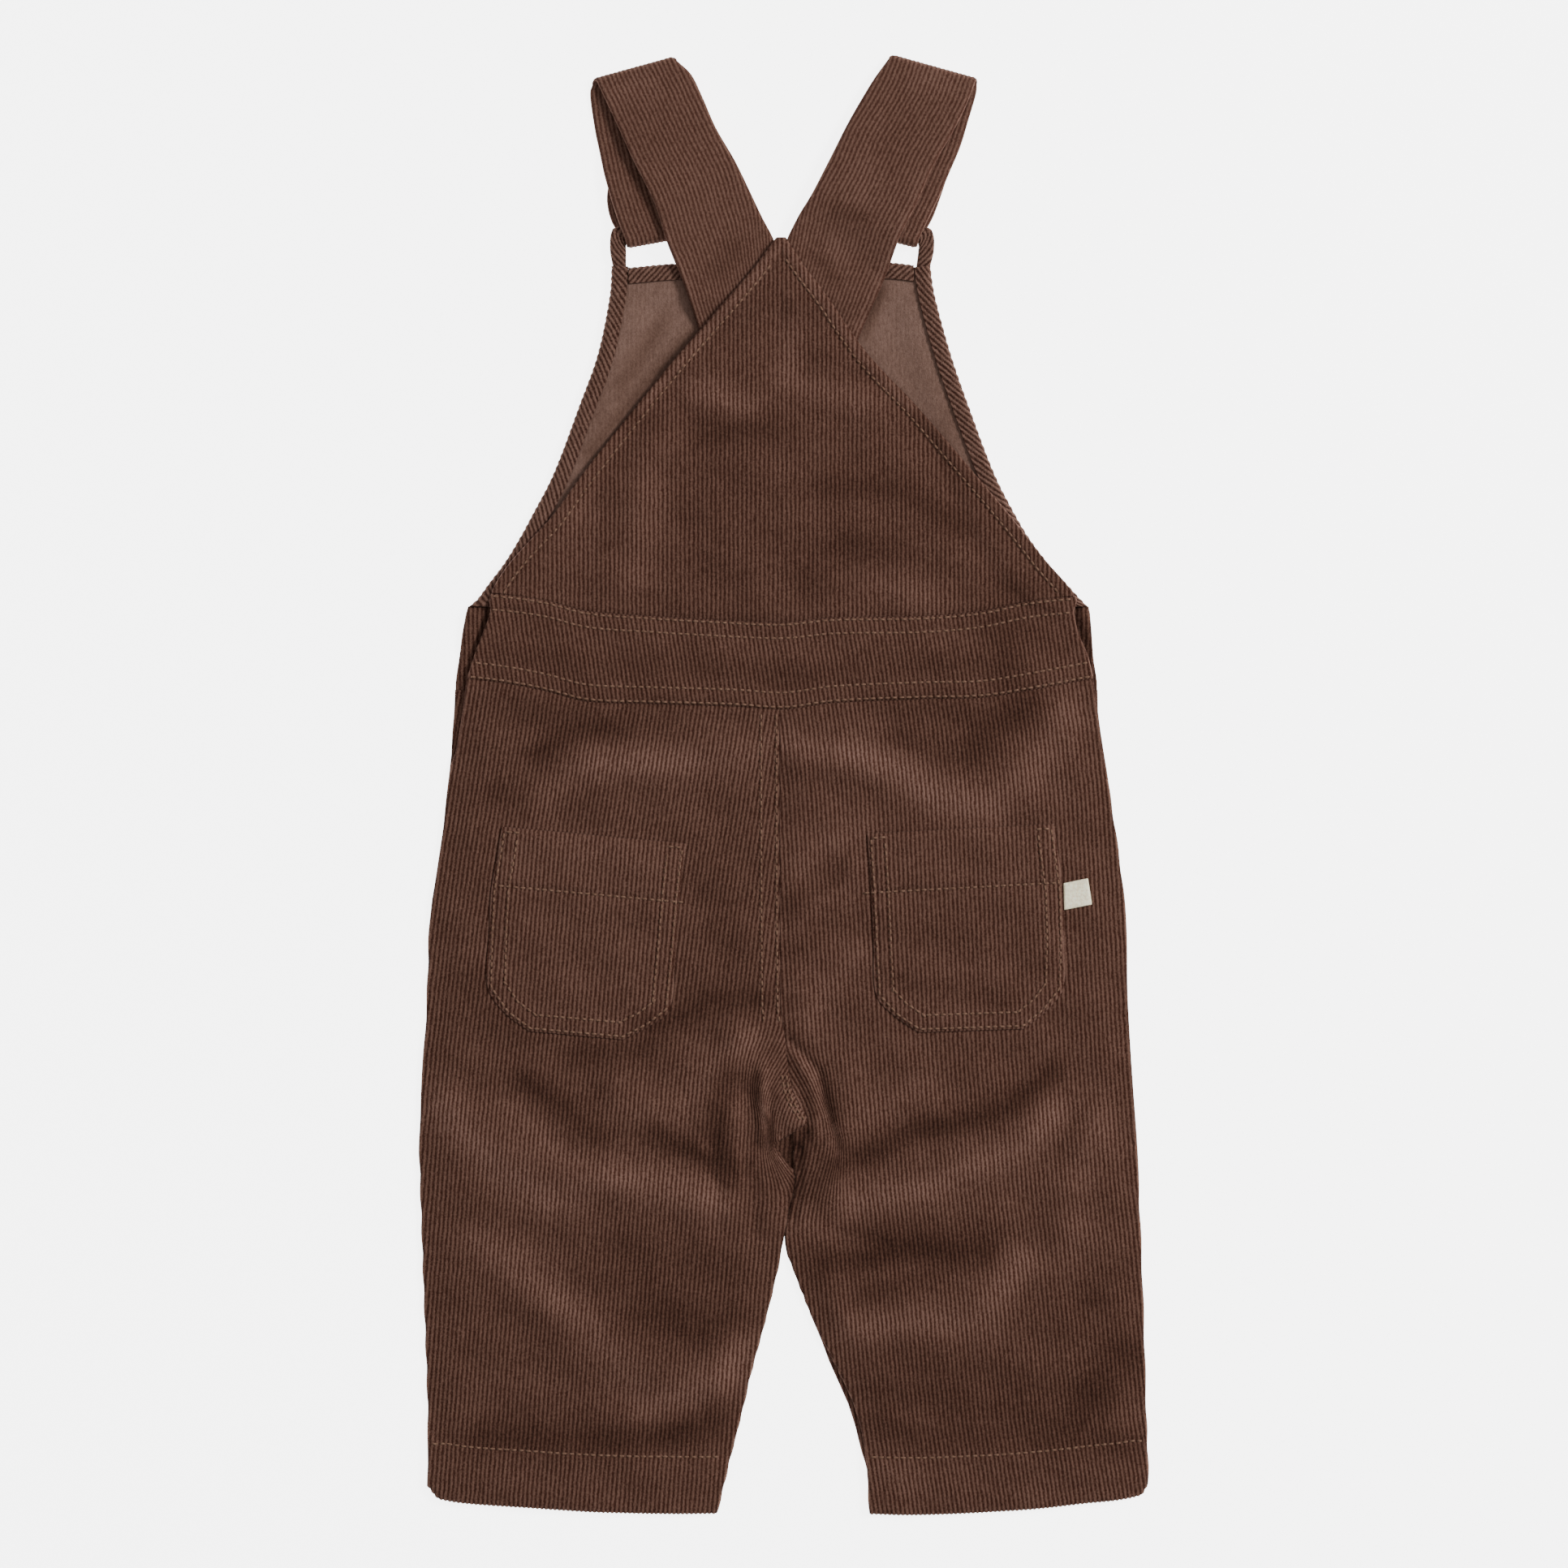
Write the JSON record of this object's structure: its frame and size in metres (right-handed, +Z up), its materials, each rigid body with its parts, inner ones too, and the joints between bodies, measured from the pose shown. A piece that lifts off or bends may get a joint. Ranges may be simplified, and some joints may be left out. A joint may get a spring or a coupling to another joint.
{
  "type": "toddler overalls",
  "caption": "Toddler dungarees in fine brown corduroy, laid flat back side up, with a triangular back bib, looped straps, patch pockets and turned hems.",
  "frame": {"origin": "centre of the bounding box on the floor, under the laid garment", "axes": "+Y from the hems to the shoulders, +Z up from the floor through the front layer to the back layer, +X to the picture's right"},
  "size_m": [0.2985, 0.5985, 0.0097],
  "materials": {
    "corduroy": "cotton corduroy, fine wales, matt nap",
    "corduroy_bias": "the same corduroy cut on the bias",
    "corduroy_strap": "the same corduroy as a double strap",
    "corduroy_wrong_side": "smooth woven back of the corduroy",
    "tab_weave": "closely woven cream tape"
  },
  "bodies": {
    "root": {"back_bib": "corduroy", "back_waistband": "corduroy", "back_leg_left": "corduroy", "back_leg_right": "corduroy", "back_pocket_left": "corduroy", "back_pocket_right": "corduroy", "label_tab": "tab_weave", "front_bib": "corduroy_wrong_side", "front_waistband": "corduroy", "front_leg_left": "corduroy", "front_leg_right": "corduroy", "strap_left": "corduroy_strap", "strap_right": "corduroy_strap", "loop_left": "corduroy_bias", "loop_right": "corduroy_bias", "binding_top": "corduroy_bias", "binding_left": "corduroy_bias", "binding_right": "corduroy_bias"}
  },
  "joints": []
}
